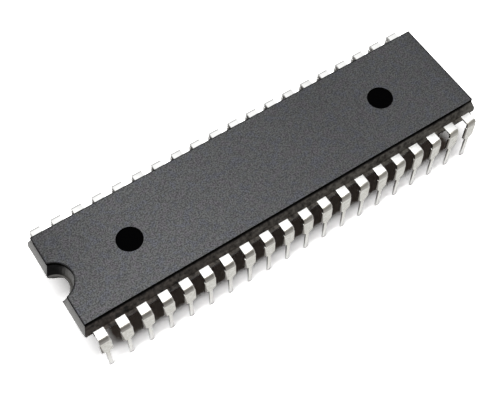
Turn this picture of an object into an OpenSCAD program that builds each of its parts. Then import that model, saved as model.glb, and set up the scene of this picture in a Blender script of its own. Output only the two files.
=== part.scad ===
// Dual in-line package: a moulded integrated circuit with two rows of twenty bent leads.
// X runs along the body, the notch is at the -X end, and lead 1 is beside it on the -Y side.
// Z is up. The origin is at the centre of the lead rows, level with the lead tips.

/* [Moulded body] */
// Distance from the centre of the last lead to the end of the body, at its parting line
end_margin = 1.55; // [1.2:0.01:2.4]
// Distance from the centre of a leg to the long wall beside it, at its parting line
wall_gap = 1.145; // [0.9:0.005:1.5]
// Height of the upper half, from the parting line to the top face
upper_height = 1.77; // [1.4:0.01:2.4]
// Height of the lower half, from the parting line to the underside
lower_height = 1.90; // [1.2:0.01:2.4]
// Slope of both end walls, in degrees from upright
end_draft = 19.5; // [3:0.5:22]
// Slope of both long walls, in degrees from upright
side_draft = 23.5; // [3:0.5:26]
// Upright band around the edge of the top face
rim_height = 0.48; // [0.05:0.01:0.5]
// Radius of the upright corners at the parting line; they run out to sharp corners at both faces
corner_radius = 0.45; // [0.3:0.05:1]
// How far the strip of plastic between the leads stands out of the long walls
web_depth = 0.32; // [0.04:0.01:0.4]

/* [Notch and ejector marks] */
// Radius of the end notch at the parting line, in the upper half
notch_radius = 1.79; // [1.2:0.01:2.4]
// Width of the ledge by which the lower half's notch is smaller
notch_ledge = 0.20; // [0.05:0.01:0.4]
// Distance of the notch's axis outside the end of the body
notch_offset = 0.02; // [0:0.01:0.5]
// Slope of the notch's wall, in degrees from upright
notch_draft = 20.5; // [3:0.5:24]
// Diameter of the round ejector marks
mark_diameter = 3.0; // [1.5:0.1:4]
// Depth of the ejector marks
mark_depth = 0.35; // [0.05:0.01:0.5]
// Distance between the two ejector marks on one face
mark_spacing = 33.02; // [20:0.01:38]

/* [Leads] */
// Distance between neighbouring leads
lead_pitch = 2.54; // [2.50:0.01:2.58]
// Distance between the two rows, from leg centre to leg centre
row_spacing = 15.24; // [15:0.01:17]
// Thickness of the lead frame's sheet
lead_thickness = 0.25; // [0.2:0.01:0.3]
// Radius of the outside of the lead's bend
bend_radius = 0.34; // [0.32:0.01:0.6]
// Width of the lead where it leaves the body and through the bend
shoulder_width = 1.19; // [1:0.01:1.4]
// Width of the leg below the step that the cut dam bar leaves
wide_width = 1.36; // [1.1:0.01:1.6]
// Width of the narrow leg that goes into a board
narrow_width = 0.46; // [0.36:0.01:0.56]
// Length of the narrow leg, from its tip to the stop shoulders
narrow_length = 3.55; // [2.9:0.01:4.2]
// Height of the underside above the stop shoulders
standoff = 1.28; // [0.4:0.01:1.8]
// Drop from the top of the lead to the step of the cut dam bar
dam_bar_drop = 0.80; // [0.6:0.01:1.2]
// Height of the bevel at the lead's tip
tip_bevel = 0.22; // [0.1:0.01:0.4]

/* [Lead frame inside] */
// Plastic between the square paddle and the long walls
paddle_margin = 2.475; // [2.2:0.005:2.7]
// Gap between the paddle and the ends of the fingers
finger_gap = 0.50; // [0.4:0.01:0.7]
// Distance that a lead keeps its full width inside the plastic
shoulder_depth = 0.40; // [0.2:0.01:0.5]
// Space between neighbouring fingers where they end
finger_space = 0.19; // [0.15:0.01:0.25]
// Distance of the last finger beside the paddle from the line of those beyond its end
corner_space = 1.50; // [1.3:0.01:1.7]
// Distance of the last finger beyond the paddle's end from the line of those beside it
corner_drop = 0.60; // [0.5:0.01:0.8]
// Width of the bars that tie the paddle to the ends of the frame
tie_width = 0.50; // [0.3:0.01:0.6]
// Gap between a tie bar and the finger ends beside it
tie_gap = 0.17; // [0.12:0.01:0.25]
// Plastic left between the end of a tie bar and the wall beyond it
tie_cover = 0.60; // [0.3:0.01:1]

/* [Die and wires] */
// Rim of bare paddle around the square die
die_margin = 1.0; // [0.6:0.05:1.8]
// Thickness of the die
die_thickness = 0.35; // [0.25:0.01:0.45]
// Thickness of the bed that bonds the die to its paddle
bond_bed = 0.05; // [0.03:0.01:0.08]
// Distance of the bond pads in from the edge of the die
pad_inset = 0.20; // [0.15:0.01:0.4]
// Thickness of a bond wire
wire_size = 0.05; // [0.04:0.01:0.06]
// Height of a bond wire's arch above the die
wire_arch = 0.30; // [0.2:0.01:0.5]

/* [Hidden] */

// Leads in one row
leads_per_row = 20;
// Fingers that end beside one half of a long side of the paddle; the rest end beyond its corner
side_ends = 3;
// Last step of a column away from the middle of the row
last_step = leads_per_row / 2 - 1;
// Width of the tip's end as a share of the metal above its bevel
tip_share = 0.5;
// Distance by which a cutter runs past the face that it cuts
overrun = 1;

// Body, paddle and die in plan
body_length = (leads_per_row - 1) * lead_pitch + 2 * end_margin;
body_width = row_spacing - 2 * wall_gap;
paddle_size = body_width - 2 * paddle_margin;
die_size = paddle_size - 2 * die_margin;

// Heights above the lead tips
underside_z = narrow_length + standoff;
parting_z = underside_z + lower_height;
top_z = parting_z + upper_height;
sheet_top_z = parting_z + lead_thickness / 2;
sheet_bottom_z = parting_z - lead_thickness / 2;
die_bottom_z = sheet_top_z + bond_bed;
die_top_z = die_bottom_z + die_thickness;

// Places in plan
leg_face_y = row_spacing / 2 + lead_thickness / 2;
notch_x = -body_length / 2 - notch_offset;
shoulder_chamfer = (wide_width - narrow_width) / 2;
stub_end_y = body_width / 2 - shoulder_depth;

// Ends of the fingers: an even row beside each side of the paddle, and one beyond each of its ends
finger_reach = paddle_size / 2 + finger_gap;
side_end_pitch = (finger_reach - corner_space) / (side_ends - 0.5);
cross_ends = last_step + 1 - side_ends;
cross_start_y = tie_width / 2 + tie_gap;
cross_end_pitch = (finger_reach - corner_drop - cross_start_y + finger_space / 2) / (cross_ends - 0.5);
finger_width = cross_end_pitch - finger_space;
first_cross_y = cross_start_y + finger_width / 2;

$fn = 64;

// How far a wall with a slope comes in over a height
function inset(height, slope) = height * tan(slope);

// Section through the body across one pair of opposite walls
function body_section(size, slope) =
    let (
        upper = size / 2 - inset(upper_height - rim_height, slope),
        lower = size / 2 - inset(lower_height, slope)
    )
    [
        [-lower, underside_z],
        [lower, underside_z],
        [size / 2, parting_z],
        [upper, top_z - rim_height],
        [upper, top_z],
        [-upper, top_z],
        [-upper, top_z - rim_height],
        [-size / 2, parting_z]
    ];

// Column of a lead along X, counted from the notch end
function lead_column(n) = n <= leads_per_row ? n : 2 * leads_per_row + 1 - n;
function lead_x(n) = (lead_column(n) - (leads_per_row + 1) / 2) * lead_pitch;

// Steps of a column away from the middle of the row
function fan_step(n) = abs(lead_column(n) - (leads_per_row + 1) / 2) - 0.5;
// Flip that brings a lead of the +Y row and the +X half to its own quarter of the body
function flip_x(n) = lead_x(n) < 0 ? [1, 0, 0] : [0, 0, 0];
function flip_y(n) = n <= leads_per_row ? [0, 1, 0] : [0, 0, 0];

// Inner end of a finger beside the paddle, for a lead of the +Y row and the +X half
function finger_end(step) =
    step < side_ends
    ? [(step + 0.5) * side_end_pitch, finger_reach]
    : [finger_reach, first_cross_y + (last_step - step) * cross_end_pitch];

// Place where the bond wire lands on a finger, just in from its end
function wire_landing(n) =
    let (
        end = finger_end(fan_step(n)),
        start = [abs(lead_x(n)), stub_end_y],
        way = (start - end) / norm(start - end)
    )
    end + way * finger_width / 2;

// Place on the die where that wire starts
function wire_pad(n) =
    let (
        landing = wire_landing(n),
        edge = die_size / 2 - pad_inset,
        reach = max(landing.x, landing.y)
    )
    landing * edge / reach;

// Plan of the body at its parting line, with rounded corners
module parting_plan() {
    square([body_length - 2 * corner_radius, body_width], center = true);
    square([body_length, body_width - 2 * corner_radius], center = true);
    for (x = [-1, 1], y = [-1, 1])
        translate([x * (body_length / 2 - corner_radius), y * (body_width / 2 - corner_radius)])
            circle(r = corner_radius);
}

// Solid drafted block, largest at its parting line, with the strip of plastic between the leads
module body_block() {
    intersection() {
        translate([0, 0, underside_z - overrun])
            linear_extrude(height = top_z - underside_z + 2 * overrun)
                parting_plan();
        translate([-body_length / 2 - overrun, 0, 0])
            rotate([90, 0, 90])
                linear_extrude(height = body_length + 2 * overrun)
                    polygon(body_section(body_width, side_draft));
        translate([0, body_width / 2 + overrun, 0])
            rotate([90, 0, 0])
                linear_extrude(height = body_width + 2 * overrun)
                    polygon(body_section(body_length, end_draft));
    }
    web_length = (leads_per_row - 1) * lead_pitch + wide_width;
    translate([-web_length / 2, -body_width / 2 - web_depth, sheet_bottom_z])
        cube([web_length, body_width + 2 * web_depth, lead_thickness]);
}

// Half-round notch that widens away from the parting line both ways, with the upright band at its top
// and a ledge where the two halves meet
module notch_cutter() {
    rim_start = upper_height - rim_height;
    rim_radius = notch_radius + inset(rim_start, notch_draft);
    lower_radius = notch_radius - notch_ledge;
    lower_reach = lower_height + overrun;
    translate([notch_x, 0, parting_z])
        rotate_extrude()
            polygon([
                [0, -lower_reach],
                [lower_radius + inset(lower_reach, notch_draft), -lower_reach],
                [lower_radius, 0],
                [notch_radius, 0],
                [rim_radius, rim_start],
                [rim_radius, upper_height + overrun],
                [0, upper_height + overrun]
            ]);
}

// Round recesses that the ejector pins leave in both faces
module ejector_marks() {
    for (side = [-1, 1]) {
        translate([side * mark_spacing / 2, 0, top_z - mark_depth])
            cylinder(h = mark_depth + overrun, d = mark_diameter);
        translate([side * mark_spacing / 2, 0, underside_z - overrun])
            cylinder(h = mark_depth + overrun, d = mark_diameter);
    }
}

// Plastic body, moulded around the lead frame, the die and its wires
module molded_body() {
    color("#4c4b4f")
        difference() {
            body_block();
            notch_cutter();
            ejector_marks();
            for (n = [1 : 2 * leads_per_row]) lead(n);
            die_paddle();
            die_bond();
            silicon_die();
            bond_wires();
        }
}

// Side view of one bent lead, from the wall of the body to the tip, with Y across and Z up
module lead_side_view() {
    bend_centre = [leg_face_y - bend_radius, sheet_top_z - bend_radius];
    // level part
    translate([stub_end_y, sheet_bottom_z])
        square([bend_centre.x - stub_end_y, lead_thickness]);
    // quarter bend
    translate(bend_centre)
        intersection() {
            difference() {
                circle(r = bend_radius);
                circle(r = bend_radius - lead_thickness);
            }
            square(bend_radius + overrun);
        }
    // upright leg, bevelled on both faces at its tip
    inner_y = leg_face_y - lead_thickness;
    tip_half = lead_thickness * tip_share / 2;
    polygon([
        [inner_y, bend_centre.y],
        [inner_y, tip_bevel],
        [row_spacing / 2 - tip_half, 0],
        [row_spacing / 2 + tip_half, 0],
        [leg_face_y, tip_bevel],
        [leg_face_y, bend_centre.y]
    ]);
}

// Front view of one lead, half of its outline on each side of its centre line, with X across and Z up
module lead_front_view() {
    step_z = sheet_top_z - dam_bar_drop;
    half = [
        [narrow_width * tip_share / 2, 0],
        [narrow_width / 2, tip_bevel],
        [narrow_width / 2, narrow_length],
        [wide_width / 2, narrow_length + shoulder_chamfer],
        [wide_width / 2, step_z],
        [shoulder_width / 2, step_z],
        [shoulder_width / 2, top_z]
    ];
    last = len(half) - 1;
    polygon(concat(half, [for (i = [last : -1 : 0]) [-half[i].x, half[i].y]]));
}

// Finger that tapers from the lead's full width inside the wall to its end beside the paddle,
// for the +Y row and the +X half
module finger_plan(column_x, step) {
    start = [column_x, stub_end_y];
    end = finger_end(step);
    way = (start - end) / norm(start - end);
    across = [-way.y, way.x] * finger_width / 2;
    left_x = column_x - shoulder_width / 2;
    right_x = column_x + shoulder_width / 2;
    root_y = stub_end_y + shoulder_depth / 2;
    polygon([
        end - across,
        [right_x, stub_end_y],
        [right_x, root_y],
        [left_x, root_y],
        [left_x, stub_end_y],
        end + across
    ]);
}

// One lead, cut and bent from sheet, with its finger inside the body
module lead(n) {
    color("#d9d8d3")
        mirror(flip_x(n)) mirror(flip_y(n)) {
            column_x = abs(lead_x(n));
            intersection() {
                translate([column_x - wide_width, 0, 0])
                    rotate([90, 0, 90])
                        linear_extrude(height = 2 * wide_width)
                            lead_side_view();
                translate([column_x, row_spacing, 0])
                    rotate([90, 0, 0])
                        linear_extrude(height = row_spacing)
                            lead_front_view();
            }
            translate([0, 0, sheet_bottom_z])
                linear_extrude(height = lead_thickness)
                    finger_plan(column_x, fan_step(n));
        }
}

// Sheet-metal paddle with its two tie bars
module die_paddle() {
    notch_side = notch_x + notch_radius + tie_cover;
    far_side = body_length / 2 - tie_cover;
    color("#cfc8bb")
        translate([0, 0, sheet_bottom_z]) {
            translate([-paddle_size / 2, -paddle_size / 2, 0])
                cube([paddle_size, paddle_size, lead_thickness]);
            translate([notch_side, -tie_width / 2, 0])
                cube([far_side - notch_side, tie_width, lead_thickness]);
        }
}

// Bed of bonding compound between the paddle and the die
module die_bond() {
    color("#b9b4a6")
        translate([-die_size / 2, -die_size / 2, sheet_top_z])
            cube([die_size, die_size, bond_bed]);
}

// Square of silicon
module silicon_die() {
    color("#7a7d86")
        translate([-die_size / 2, -die_size / 2, die_bottom_z])
            cube([die_size, die_size, die_thickness]);
}

// One arched wire from a pad on the die to the finger of a lead
module bond_wire(n) {
    pad = wire_pad(n);
    landing = wire_landing(n);
    span = norm(landing - pad);
    crest_z = die_top_z + wire_arch;
    half = wire_size / 2;
    rise = 2 * wire_size;
    shape = [
        [-half, die_top_z],
        [rise - half, crest_z + wire_size],
        [span / 2, crest_z + wire_size],
        [span + half, sheet_top_z],
        [span - half, sheet_top_z],
        [span / 2 - half, crest_z],
        [rise + half, crest_z],
        [half, die_top_z]
    ];
    mirror(flip_x(n)) mirror(flip_y(n))
        translate([pad.x, pad.y, 0])
            rotate([0, 0, atan2(landing.y - pad.y, landing.x - pad.x)])
                translate([0, half, 0])
                    rotate([90, 0, 0])
                        linear_extrude(height = wire_size)
                            polygon(shape);
}

// All the bond wires, one for each lead
module bond_wires() {
    color("#d9b25c")
        for (n = [1 : 2 * leads_per_row]) bond_wire(n);
}

molded_body();
die_paddle();
die_bond();
silicon_die();
bond_wires();
lead(1);  // lead_01
lead(2);  // lead_02
lead(3);  // lead_03
lead(4);  // lead_04
lead(5);  // lead_05
lead(6);  // lead_06
lead(7);  // lead_07
lead(8);  // lead_08
lead(9);  // lead_09
lead(10);  // lead_10
lead(11);  // lead_11
lead(12);  // lead_12
lead(13);  // lead_13
lead(14);  // lead_14
lead(15);  // lead_15
lead(16);  // lead_16
lead(17);  // lead_17
lead(18);  // lead_18
lead(19);  // lead_19
lead(20);  // lead_20
lead(21);  // lead_21
lead(22);  // lead_22
lead(23);  // lead_23
lead(24);  // lead_24
lead(25);  // lead_25
lead(26);  // lead_26
lead(27);  // lead_27
lead(28);  // lead_28
lead(29);  // lead_29
lead(30);  // lead_30
lead(31);  // lead_31
lead(32);  // lead_32
lead(33);  // lead_33
lead(34);  // lead_34
lead(35);  // lead_35
lead(36);  // lead_36
lead(37);  // lead_37
lead(38);  // lead_38
lead(39);  // lead_39
lead(40);  // lead_40
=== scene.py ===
"""Moulded dual in-line package on a white ground, dressed around its solids."""

import math

import bpy
from mathutils import Matrix, Vector

MM = 0.001

# Sizes of the package, in millimetres, with heights above the lead tips
TOP_Z = 8.5
PARTING_Z = 6.73
UNDERSIDE_Z = 4.83
# Foot of the upright band round the top face
RIM_Z = 8.02
TOP_HALF_WIDTH = 5.914
TOP_HALF_LENGTH = 25.223
# Axis of the end notch, and its radius at the top face
NOTCH_X = -25.70
NOTCH_REACH = 2.27
LEAD_PITCH = 2.54
# Half the width of the wide leg, the foot of its stop shoulders and the step of the cut dam bar above it
WIDE_HALF = 0.68
STOP_Z = 3.55
STEP_Z = 6.055
# Outer face of the legs
LEG_FACE_Y = 7.745

# Stretch along X over which painted shade darkens the top face towards the right, in millimetres
PAINTED_SHADE_X = (-12.0, 9.0)
# Values between which most of the fine noise lies
FINE_RANGE = (0.34, 0.66)

FACE_ROUGHNESS = 0.55
END_WALL_ROUGHNESS = 0.28
TIN_ROUGHNESS = 0.32
TIN_INNER_ROUGHNESS = 0.85

# Rounding of the sheared edges of the leads, and the least angle that counts as an edge
LEAD_EDGE_MM = 0.025
LEAD_EDGE_SEGMENTS = 2
SHARP_DEGREES = 32.0
# Distance in metres within which split corners are joined
WELD_REACH = 1e-7

# Camera of the photograph: where it stands in millimetres, and its three axes
CAMERA_MM = (-33.73, -48.29, 103.72)
CAMERA_RIGHT = (0.83375, -0.55214, 0.00393)
CAMERA_DOWN = (-0.47750, -0.72459, -0.49696)
FOCAL_PIXELS = 1019.6
FRAME_PIXELS = 500
SENSOR_MM = 36.0

# Overhead lamp, and half the side of the ground, with lengths in metres
LAMP_PLACE = (-0.03, -0.012, 0.29)
LAMP_SIZE = (0.30, 0.068)
LAMP_WATTS = 1.05
GROUND_REACH = 0.6

# Sockets of a mix node when it mixes colours
MIX_FACTOR, MIX_FIRST, MIX_SECOND = 0, 6, 7
MIX_RESULT = 2


class Graph:
    """An emptied node tree, with a short way to add each kind of node that the finishes use."""

    def __init__(self, tree):
        tree.nodes.clear()
        self.nodes = tree.nodes
        self.links = tree.links

    def feed(self, value, target):
        """Joins a socket to an input, or writes a number or a colour on the input itself."""
        if isinstance(value, bpy.types.NodeSocket):
            self.links.new(value, target)
        elif isinstance(value, tuple):
            target.default_value = (*value, 1.0)
        else:
            target.default_value = value

    def principled(self, roughness, metallic=0.0):
        """A principled shader joined to the material's output."""
        shader = self.nodes.new("ShaderNodeBsdfPrincipled")
        output = self.nodes.new("ShaderNodeOutputMaterial")
        self.links.new(shader.outputs["BSDF"], output.inputs["Surface"])
        shader.inputs["Roughness"].default_value = roughness
        shader.inputs["Metallic"].default_value = metallic
        return shader

    def place(self):
        """The place on the piece, in metres."""
        return self.nodes.new("ShaderNodeTexCoord").outputs["Object"]

    def axes(self, vector):
        """The three parts of a vector."""
        parts = self.nodes.new("ShaderNodeSeparateXYZ")
        self.links.new(vector, parts.inputs[0])
        return parts.outputs["X"], parts.outputs["Y"], parts.outputs["Z"]

    def facing(self):
        """The three parts of the direction that the surface faces."""
        return self.axes(self.nodes.new("ShaderNodeNewGeometry").outputs["True Normal"])

    def noise(self, place, grain_mm, detail, roughness):
        """A noise whose features are about grain_mm across."""
        texture = self.nodes.new("ShaderNodeTexNoise")
        texture.inputs["Scale"].default_value = 1.0 / (grain_mm * MM)
        texture.inputs["Detail"].default_value = detail
        texture.inputs["Roughness"].default_value = roughness
        self.links.new(place, texture.inputs["Vector"])
        return texture.outputs["Fac"]

    def ramp(self, factor, stops):
        """A colour ramp over factor, with stops of (place, colour)."""
        node = self.nodes.new("ShaderNodeValToRGB")
        elements = node.color_ramp.elements
        while len(elements) < len(stops):
            elements.new(0.5)
        for element, (position, colour) in zip(elements, stops):
            element.position = position
            element.color = (*colour, 1.0)
        self.links.new(factor, node.inputs["Fac"])
        return node.outputs["Color"]

    def mix(self, factor, first, second, blend="MIX"):
        """Mixes two colours; the factor and both colours may be sockets."""
        node = self.nodes.new("ShaderNodeMix")
        node.data_type = "RGBA"
        node.blend_type = blend
        self.feed(factor, node.inputs[MIX_FACTOR])
        self.feed(first, node.inputs[MIX_FIRST])
        self.feed(second, node.inputs[MIX_SECOND])
        return node.outputs[MIX_RESULT]

    def calc(self, operation, first, second=0.0, clamp=False):
        """One step of arithmetic on sockets or numbers."""
        node = self.nodes.new("ShaderNodeMath")
        node.operation = operation
        node.use_clamp = clamp
        self.feed(first, node.inputs[0])
        self.feed(second, node.inputs[1])
        return node.outputs[0]

    def times(self, first, *others):
        """The product of all the values."""
        product = first
        for other in others:
            product = self.calc("MULTIPLY", product, other)
        return product

    def step(self, value, start, end, low=0.0, high=1.0):
        """Goes from low to high as value goes from start to end, and stays level beyond them."""
        node = self.nodes.new("ShaderNodeMapRange")
        node.inputs["From Min"].default_value = start
        node.inputs["From Max"].default_value = end
        node.inputs["To Min"].default_value = low
        node.inputs["To Max"].default_value = high
        self.links.new(value, node.inputs["Value"])
        return node.outputs["Result"]

    def step_mm(self, value, start, end, low=0.0, high=1.0):
        """A step over a length that is given in millimetres."""
        return self.step(value, start * MM, end * MM, low, high)

    def band_mm(self, value, start, end, soft):
        """1 while value is between start and end, with soft edges, all in millimetres."""
        rise = self.step_mm(value, start - soft, start + soft)
        fall = self.step_mm(value, end + soft, end - soft)
        return self.times(rise, fall)

    def bump(self, height, distance_mm, strength=1.0):
        """A bump that is distance_mm high."""
        node = self.nodes.new("ShaderNodeBump")
        node.inputs["Strength"].default_value = strength
        node.inputs["Distance"].default_value = distance_mm * MM
        self.links.new(height, node.inputs["Height"])
        return node.outputs["Normal"]


def new_material(name):
    """A node material and its empty graph."""
    material = bpy.data.materials.new(name)
    material.use_nodes = True
    return material, Graph(material.node_tree)


class BodyMasks:
    """Sockets that say where each kind of surface lies on the plastic body."""

    def __init__(self, graph, place):
        self.x, self.y, z = graph.axes(place)
        facing_x, facing_y, facing_z = graph.facing()
        up = graph.calc("ABSOLUTE", facing_z)
        level = graph.step(up, 0.80, 0.97)
        # end walls, the way down from the band to the parting line, and the far end of the side walls
        self.end = graph.step(graph.calc("ABSOLUTE", facing_x), 0.75, 0.92)
        self.down = graph.step_mm(z, RIM_Z, PARTING_Z)
        self.far_end = graph.step_mm(self.x, TOP_HALF_LENGTH - 1.9, TOP_HALF_LENGTH + 0.3)
        # top face and underside; the strip between the leads is level too, but it lies between them
        high = graph.step_mm(z, TOP_Z - 0.9, TOP_Z - 0.8)
        low = graph.step_mm(z, UNDERSIDE_Z + 0.9, UNDERSIDE_Z + 0.8)
        self.face = graph.times(level, graph.calc("ADD", high, low))
        # floors of the ejector marks: level, but below the faces
        sunk = graph.band_mm(z, TOP_Z - 0.5, TOP_Z - 0.2, soft=0.05)
        sunk_below = graph.band_mm(z, UNDERSIDE_Z + 0.2, UNDERSIDE_Z + 0.5, soft=0.05)
        self.floor = graph.times(level, graph.calc("ADD", sunk, sunk_below))
        # notch: all of it, its side that faces the near leads, and the ledge with what is below
        from_notch = graph.calc("SUBTRACT", self.x, NOTCH_X * MM)
        squares = graph.calc("ADD", graph.times(from_notch, from_notch), graph.times(self.y, self.y))
        radius = graph.calc("SQRT", squares)
        self.notch = graph.step_mm(radius, NOTCH_REACH + 0.05, NOTCH_REACH + 0.01)
        self.notch_shade = graph.times(self.notch, graph.step(facing_y, -0.25, -0.75))
        self.notch_foot = graph.times(self.notch, graph.step_mm(z, PARTING_Z + 0.04, PARTING_Z + 0.01))
        # upright band round the top face, apart from its back corners, and the shade on the walls below it
        rim = graph.times(graph.step_mm(z, RIM_Z - 0.02, RIM_Z + 0.02), graph.step(up, 0.25, 0.15))
        back_corner = graph.times(self.end, graph.step_mm(self.y, 5.3, 5.6))
        self.rim = graph.times(rim, graph.calc("SUBTRACT", 1.0, back_corner))
        under_rim = graph.step_mm(z, RIM_Z - 0.22, RIM_Z - 0.06, high=0.95)
        self.under_rim = graph.times(under_rim, graph.step(self.far_end, 0.2, 0.9, low=1.0, high=0.3))
        self.painted_edge_tone = self.painted_edge_shade(graph, radius)
        self.painted_falloff_tone = self.painted_falloff(graph)

    def painted_edge_shade(self, graph, radius):
        """Painted shade: drops to a quarter in a thin line along the face's back edge, its ends and the
        notch.
        """
        starts, full = 0.17, 0.07
        back = graph.step_mm(self.y, TOP_HALF_WIDTH - starts, TOP_HALF_WIDTH - full)
        along = graph.calc("ABSOLUTE", self.x)
        ends = graph.step_mm(along, TOP_HALF_LENGTH - starts, TOP_HALF_LENGTH - full)
        notch = graph.step_mm(radius, NOTCH_REACH + 0.19, NOTCH_REACH + 0.09)
        line = graph.calc("MAXIMUM", graph.calc("MAXIMUM", back, ends), notch)
        return graph.step(line, 0.0, 1.0, low=1.0, high=0.25)

    def painted_falloff(self, graph):
        """Painted shade: drops towards the far right, and in the corner behind the notch."""
        away = graph.step_mm(self.x, *PAINTED_SHADE_X, low=1.0, high=0.76)
        towards_notch = graph.step_mm(self.x, -17.0, -25.0)
        towards_back = graph.step_mm(self.y, -4.0, 3.0, low=0.12, high=1.0)
        corner = graph.times(towards_notch, towards_back)
        return graph.times(away, graph.step(corner, 0.0, 1.0, low=1.0, high=0.74))


def face_colour(graph, place, masks, fine):
    """Blasted face: a speckle in tone and hue, with painted shade on its darker parts."""
    tint = graph.noise(place, grain_mm=1.2, detail=3.0, roughness=0.6)
    broad = graph.noise(place, grain_mm=9.0, detail=2.0, roughness=0.5)
    blue = (0.0412, 0.0435, 0.0540)
    green = (0.0435, 0.0462, 0.0452)
    violet = (0.0468, 0.0440, 0.0508)
    hue = graph.ramp(tint, [(0.39, blue), (0.50, green), (0.61, violet)])
    # the speckle is weaker where painted shade darkens the face
    grit = graph.step(fine, *FINE_RANGE, low=-0.72, high=0.72)
    grit = graph.times(grit, graph.step_mm(masks.x, *PAINTED_SHADE_X, low=1.0, high=0.84))
    grit = graph.calc("ADD", grit, 1.0)
    drift = graph.step(broad, 0.3, 0.7, low=0.95, high=1.05)
    # painted shade: darker over the last stretch before the far end, and a little darker towards the back
    painted_end_shade = graph.step_mm(masks.x, TOP_HALF_LENGTH - 1.6, TOP_HALF_LENGTH - 0.3, low=1.0, high=0.72)
    back = graph.step_mm(masks.y, -3.0, 5.0, low=1.0, high=0.93)
    tone = graph.times(grit, masks.painted_falloff_tone, drift, masks.painted_edge_tone, painted_end_shade, back)
    return graph.mix(1.0, hue, tone, "MULTIPLY")


def wall_colour(graph, masks, mottle):
    """Walls: warm and mottled, greener to the right, with ends made paler by painted reflection and black
    painted shade under the band.
    """
    black = (0.001, 0.001, 0.001)
    # painted reflection of the white ground on the rounded far end of the side walls
    painted_reflection_wall = (0.125, 0.121, 0.107)
    left_wall = graph.ramp(mottle, [(0.32, black), (0.68, (0.030, 0.021, 0.015))])
    right_wall = graph.ramp(mottle, [(0.32, (0.013, 0.011, 0.009)), (0.68, (0.076, 0.069, 0.057))])
    side_wall = graph.mix(graph.step_mm(masks.x, -22.0, 14.0), left_wall, right_wall)
    side_wall = graph.mix(masks.far_end, side_wall, painted_reflection_wall)
    # painted shade: black on the walls just under the band
    side_wall = graph.mix(masks.under_rim, side_wall, black)
    # painted reflection: the end walls grow paler downwards from the band to the parting line
    end_wall = graph.mix(masks.down, (0.030, 0.027, 0.023), (0.112, 0.111, 0.100))
    return graph.mix(masks.end, side_wall, end_wall)


def notch_colour(graph, masks, wall):
    """Notch: painted shade darkens its wall, nearly black on the side that faces the near leads, and
    painted light makes it paler at its foot.
    """
    dimmed = graph.mix(1.0, wall, (0.48, 0.46, 0.43), "MULTIPLY")
    colour = graph.mix(masks.notch, wall, dimmed)
    colour = graph.mix(masks.notch_shade, colour, (0.011, 0.011, 0.011))
    return graph.mix(masks.notch_foot, colour, (0.075, 0.072, 0.068))


def plastic_gloss(graph, masks, fine, mottle):
    """Gloss: speckled on the faces, strongest on the end walls, none in the marks and on the band."""
    sheen = graph.step(fine, *FINE_RANGE, low=0.36, high=0.62)
    # the sheen falls with the painted shade on the face, and the walls' gloss drops in the painted shade
    # under the band and in the notch
    sheen = graph.times(sheen, masks.painted_edge_tone, masks.painted_falloff_tone)
    shade = graph.calc("ADD", masks.under_rim, masks.notch_shade)
    walls = graph.step(shade, 0.0, 1.0, low=0.25, high=0.02)
    walls = graph.times(walls, graph.step(mottle, 0.36, 0.64, low=0.45, high=1.55))
    mirror = graph.step(masks.down, 0.0, 0.8, low=0.50, high=0.95)
    mirror = graph.mix(masks.notch, mirror, (0.52, 0.52, 0.52))
    gloss = graph.mix(masks.end, walls, mirror)
    gloss = graph.mix(masks.face, gloss, sheen)
    return graph.mix(graph.calc("MAXIMUM", masks.floor, masks.rim), gloss, (0.0, 0.0, 0.0))


def moulding_compound():
    """Dark epoxy: blasted faces, darker walls, a band round the top painted black as shade, and polished
    ejector marks painted black as their dark reflection.
    """
    material, graph = new_material("moulding_compound")
    shader = graph.principled(FACE_ROUGHNESS)
    place = graph.place()
    masks = BodyMasks(graph, place)
    fine = graph.noise(place, grain_mm=0.155, detail=1.0, roughness=0.5)
    mottle = graph.noise(place, grain_mm=0.55, detail=3.0, roughness=0.6)
    grain = graph.noise(place, grain_mm=0.11, detail=2.0, roughness=0.6)

    colour = notch_colour(graph, masks, wall_colour(graph, masks, mottle))
    colour = graph.mix(masks.face, colour, face_colour(graph, place, masks, fine))
    # painted shade: the band round the top nearly black, and paler at the far end as a painted reflection
    rim_tone = graph.mix(graph.step(masks.far_end, 0.2, 0.9), (0.007, 0.007, 0.006), (0.045, 0.044, 0.040))
    colour = graph.mix(masks.rim, colour, rim_tone)
    # painted reflection: the polished ejector marks black, as they mirror dark surroundings
    colour = graph.mix(masks.floor, colour, (0.0012, 0.0012, 0.0013))
    graph.feed(colour, shader.inputs["Base Color"])

    graph.feed(plastic_gloss(graph, masks, fine, mottle), shader.inputs["Specular IOR Level"])
    roughness = graph.step(masks.end, 0.0, 1.0, low=FACE_ROUGHNESS, high=END_WALL_ROUGHNESS)
    graph.feed(roughness, shader.inputs["Roughness"])
    height = graph.times(graph.calc("SUBTRACT", 1.0, masks.floor), grain)
    graph.feed(graph.bump(height, distance_mm=0.03, strength=0.9), shader.inputs["Normal"])
    return material


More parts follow.
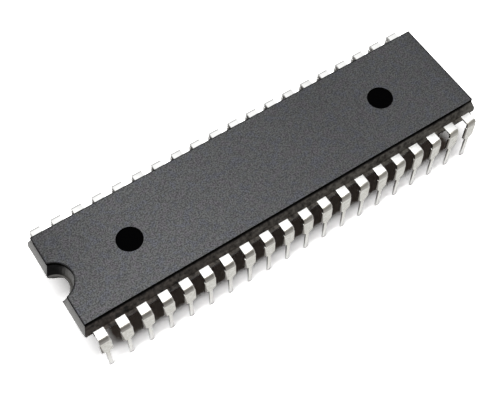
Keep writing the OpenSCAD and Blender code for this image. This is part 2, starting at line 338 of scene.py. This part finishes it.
class LeadMasks:
    """Sockets that say where each kind of surface lies on a lead."""

    def __init__(self, graph, place):
        x, y, self.z = graph.axes(place)
        facing_x, facing_y, facing_z = graph.facing()
        self.back_row = graph.step_mm(y, -1.0, 1.0)
        self.right = graph.step_mm(x, -12.0, 22.0)
        # level top, sheared sides, and the faces of the back row that look at the body
        self.flat = graph.step(facing_z, 0.90, 0.97)
        self.side = graph.step(graph.calc("ABSOLUTE", facing_x), 0.6, 0.8)
        self.inner = graph.times(graph.step(facing_y, -0.5, -0.8), self.back_row)
        # distance from the centre line of the lead
        within_pitch = graph.calc("FLOORED_MODULO", x, LEAD_PITCH * MM)
        self.own_x = graph.calc("SUBTRACT", within_pitch, LEAD_PITCH / 2 * MM)
        # bend, down to the step of the cut dam bar
        above_step = graph.step_mm(self.z, STEP_Z - 0.06, STEP_Z + 0.10)
        out = graph.calc("ABSOLUTE", y)
        self.bend = graph.times(above_step, graph.step_mm(out, LEG_FACE_Y - 0.33, LEG_FACE_Y - 0.29))
        self.lean = self.leaning_shade(graph)

    def leaning_shade(self, graph):
        """Shade down the left of the wide leg in the near row, widest at its foot and to the right."""
        width = graph.step_mm(self.z, STEP_Z, STOP_Z + 0.45, low=0.04 * MM, high=0.24 * MM)
        width = graph.calc("MAXIMUM", width, graph.times(self.right, 0.20 * MM))
        border = graph.calc("ADD", width, -WIDE_HALF * MM)
        within = graph.step_mm(graph.calc("SUBTRACT", border, self.own_x), -0.03, 0.05)
        wide_leg = graph.band_mm(self.z, STOP_Z, STEP_Z, soft=0.03)
        near_row = graph.calc("SUBTRACT", 1.0, self.back_row)
        return graph.times(within, wide_leg, near_row)


def leg_colour(graph, masks, mottle):
    """Front of the leg: mottled, in painted shade darker than the top, and paler towards its tip as
    painted light.
    """
    dark = (0.36, 0.35, 0.31)
    plain = (0.46, 0.455, 0.42)
    pale = (0.57, 0.57, 0.54)
    leg = graph.ramp(mottle, [(0.30, dark), (0.50, plain), (0.70, pale)])
    leg = graph.mix(graph.step_mm(masks.z, 3.6, 0.6, high=0.9), leg, (0.76, 0.76, 0.74))
    return graph.mix(graph.step_mm(masks.z, 0.7, 0.2), leg, (0.93, 0.93, 0.92))


def bend_colour(graph, masks):
    """Bend: painted shade makes it dark; painted light makes it paler towards the right of the row, along
    its own right edge and in the back row.
    """
    bend = graph.mix(masks.right, (0.152, 0.144, 0.130), (0.25, 0.24, 0.215))
    lit_edge = graph.step_mm(masks.own_x, 0.40, 0.58, high=0.8)
    bend = graph.mix(lit_edge, bend, (0.42, 0.41, 0.38))
    return graph.mix(masks.back_row, bend, (0.52, 0.52, 0.51))


def side_colour(graph, masks):
    """Sheared sides: painted shade at the top, and painted light making them paler down the narrow leg."""
    side = graph.mix(graph.step_mm(masks.z, 4.0, 0.8), (0.13, 0.118, 0.100), (0.50, 0.49, 0.47))
    side = graph.mix(graph.step_mm(masks.z, 1.7, 0.7), side, (0.90, 0.90, 0.88))
    return graph.mix(masks.back_row, side, (0.36, 0.36, 0.35))


def tin_plating():
    """Matt tin: bright on top, with painted shade that makes it darker down the leg and darkest at the
    bend and on the sheared sides.
    """
    material, graph = new_material("tin_plating")
    shader = graph.principled(TIN_ROUGHNESS, metallic=0.9)
    place = graph.place()
    masks = LeadMasks(graph, place)
    mottle = graph.noise(place, grain_mm=0.35, detail=4.0, roughness=0.65)
    grain = graph.noise(place, grain_mm=0.09, detail=2.0, roughness=0.6)

    # painted shade: the tops of the back row a little darker than those of the near row
    flat_tone = graph.mix(masks.back_row, (0.93, 0.93, 0.915), (0.80, 0.80, 0.79))
    colour = graph.mix(masks.flat, leg_colour(graph, masks, mottle), flat_tone)
    colour = graph.mix(masks.bend, colour, bend_colour(graph, masks))
    # painted shade down the left of the wide leg
    colour = graph.mix(masks.lean, colour, (0.10, 0.092, 0.080))
    colour = graph.mix(masks.inner, colour, (0.93, 0.92, 0.90))
    colour = graph.mix(masks.side, colour, side_colour(graph, masks))
    graph.feed(colour, shader.inputs["Base Color"])

    roughness = graph.step(masks.inner, 0.0, 1.0, low=TIN_ROUGHNESS, high=TIN_INNER_ROUGHNESS)
    graph.feed(roughness, shader.inputs["Roughness"])
    height = graph.calc("ADD", grain, mottle)
    graph.feed(graph.bump(height, distance_mm=0.008, strength=0.6), shader.inputs["Normal"])
    return material


def grained(name, pale, dark, roughness, metallic, grain_mm):
    """A simple grained finish for a piece that is sealed in the plastic."""
    material, graph = new_material(name)
    shader = graph.principled(roughness, metallic)
    grain = graph.noise(graph.place(), grain_mm, detail=3.0, roughness=0.6)
    graph.feed(graph.ramp(grain, [(0.3, dark), (0.7, pale)]), shader.inputs["Base Color"])
    graph.feed(graph.bump(grain, distance_mm=0.004), shader.inputs["Normal"])
    return material


def frame_alloy():
    """Bare sheet of the lead frame."""
    pale = (0.66, 0.62, 0.55)
    dark = (0.55, 0.51, 0.45)
    return grained("frame_alloy", pale, dark, roughness=0.4, metallic=0.9, grain_mm=0.2)


def silver_epoxy():
    """Bonding compound filled with silver."""
    pale = (0.62, 0.61, 0.58)
    dark = (0.45, 0.44, 0.42)
    return grained("silver_epoxy", pale, dark, roughness=0.6, metallic=0.3, grain_mm=0.05)


def silicon():
    """Face of the die."""
    pale = (0.20, 0.22, 0.27)
    dark = (0.12, 0.13, 0.17)
    return grained("silicon", pale, dark, roughness=0.25, metallic=0.4, grain_mm=0.3)


def gold():
    """Gold of the bond wires."""
    pale = (0.90, 0.70, 0.33)
    dark = (0.80, 0.60, 0.26)
    return grained("gold", pale, dark, roughness=0.3, metallic=1.0, grain_mm=0.05)


def assign(piece, material):
    """Gives a piece one material all over."""
    piece.data.materials.clear()
    piece.data.materials.append(material)
    for polygon in piece.data.polygons:
        polygon.material_index = 0


def soften(piece):
    """Joins a lead's split corners and rounds its sheared edges."""
    weld = piece.modifiers.new("weld", "WELD")
    weld.merge_threshold = WELD_REACH
    rounding = piece.modifiers.new("rounding", "BEVEL")
    rounding.width = LEAD_EDGE_MM * MM
    rounding.segments = LEAD_EDGE_SEGMENTS
    rounding.use_clamp_overlap = True
    rounding.miter_outer = "MITER_ARC"
    rounding.limit_method = "ANGLE"
    rounding.angle_limit = math.radians(SHARP_DEGREES)
    for polygon in piece.data.polygons:
        polygon.use_smooth = True
    weighted = piece.modifiers.new("shading", "WEIGHTED_NORMAL")
    weighted.keep_sharp = False
    weighted.weight = 100


def dress_body(nodes):
    """Body and the pieces sealed in it."""
    assign(nodes["molded_body"], moulding_compound())
    assign(nodes["die_paddle"], frame_alloy())
    assign(nodes["die_bond"], silver_epoxy())
    assign(nodes["silicon_die"], silicon())
    assign(nodes["bond_wires"], gold())


def dress_leads(nodes):
    """The forty leads."""
    plating = tin_plating()
    for name in sorted(nodes):
        if name.startswith("lead_"):
            assign(nodes[name], plating)
            soften(nodes[name])


def build_camera():
    """Camera at the place and angle of the photograph."""
    data = bpy.data.cameras.new("camera")
    data.sensor_width = SENSOR_MM
    data.lens = FOCAL_PIXELS / FRAME_PIXELS * SENSOR_MM
    data.clip_start = 0.005
    data.clip_end = 10.0
    camera = bpy.data.objects.new("camera", data)
    bpy.context.scene.collection.objects.link(camera)
    right = Vector(CAMERA_RIGHT).normalized()
    up = -Vector(CAMERA_DOWN).normalized()
    back = right.cross(up).normalized()
    up = back.cross(right)
    turn = Matrix((right, up, back)).transposed().to_4x4()
    camera.matrix_world = Matrix.Translation(Vector(CAMERA_MM) * MM) @ turn
    bpy.context.scene.camera = camera


def build_lamp():
    """Soft studio lamp overhead, turned towards the object."""
    data = bpy.data.lights.new("overhead", "AREA")
    data.shape = "RECTANGLE"
    data.size, data.size_y = LAMP_SIZE
    data.energy = LAMP_WATTS
    lamp = bpy.data.objects.new("overhead", data)
    lamp.location = LAMP_PLACE
    x, y, z = LAMP_PLACE
    lamp.rotation_euler = (-math.atan2(y, z), math.atan2(x, z), 0.0)
    bpy.context.scene.collection.objects.link(lamp)


def seen_directly(graph):
    """1 where a thing is seen, by itself, mirrored or through glass, and 0 where it only lights others."""
    path = graph.nodes.new("ShaderNodeLightPath")
    seen = graph.calc("ADD", path.outputs["Is Camera Ray"], path.outputs["Is Glossy Ray"])
    seen = graph.calc("ADD", seen, path.outputs["Is Transmission Ray"])
    return graph.calc("SUBTRACT", seen, path.outputs["Diffuse Depth"], clamp=True)


def build_world():
    """Dim surroundings that are white where the camera and reflections show them."""
    world = bpy.data.worlds.new("surroundings")
    world.use_nodes = True
    bpy.context.scene.world = world
    graph = Graph(world.node_tree)
    background = graph.nodes.new("ShaderNodeBackground")
    output = graph.nodes.new("ShaderNodeOutputWorld")
    dim = (0.021, 0.016, 0.013)
    white = (1.0, 1.0, 1.0)
    graph.feed(graph.mix(seen_directly(graph), dim, white), background.inputs["Color"])
    graph.feed(background.outputs[0], output.inputs["Surface"])


def ground_finish():
    """White where it is seen, and dim where it only lights the object."""
    material, graph = new_material("ground")
    diffuse = graph.nodes.new("ShaderNodeBsdfDiffuse")
    output = graph.nodes.new("ShaderNodeOutputMaterial")
    lighting = (0.14, 0.117, 0.103)
    reflected = (1.2, 1.2, 1.2)
    seen = (1.9, 1.9, 1.9)
    tone = graph.mix(seen_directly(graph), lighting, reflected)
    camera = graph.nodes.new("ShaderNodeLightPath").outputs["Is Camera Ray"]
    graph.feed(graph.mix(camera, tone, seen), diffuse.inputs["Color"])
    graph.feed(diffuse.outputs[0], output.inputs["Surface"])
    return material


def build_floor():
    """White ground that keeps the object's shadow."""
    reach = GROUND_REACH
    corners = [(-reach, -reach, 0), (reach, -reach, 0), (reach, reach, 0), (-reach, reach, 0)]
    mesh = bpy.data.meshes.new("ground")
    mesh.from_pydata(corners, [], [(0, 1, 2, 3)])
    ground = bpy.data.objects.new("ground", mesh)
    bpy.context.scene.collection.objects.link(ground)
    assign(ground, ground_finish())


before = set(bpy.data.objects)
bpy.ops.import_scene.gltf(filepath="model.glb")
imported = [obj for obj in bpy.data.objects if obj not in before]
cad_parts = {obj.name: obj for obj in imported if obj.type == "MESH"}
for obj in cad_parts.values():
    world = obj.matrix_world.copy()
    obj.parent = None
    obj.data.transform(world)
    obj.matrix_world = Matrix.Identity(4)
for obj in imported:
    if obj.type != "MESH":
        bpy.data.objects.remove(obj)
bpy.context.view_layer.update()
bpy.context.scene.view_settings.view_transform = "Standard"
build_camera()
build_lamp()
build_world()
build_floor()
dress_body(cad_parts)
dress_leads(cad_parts)
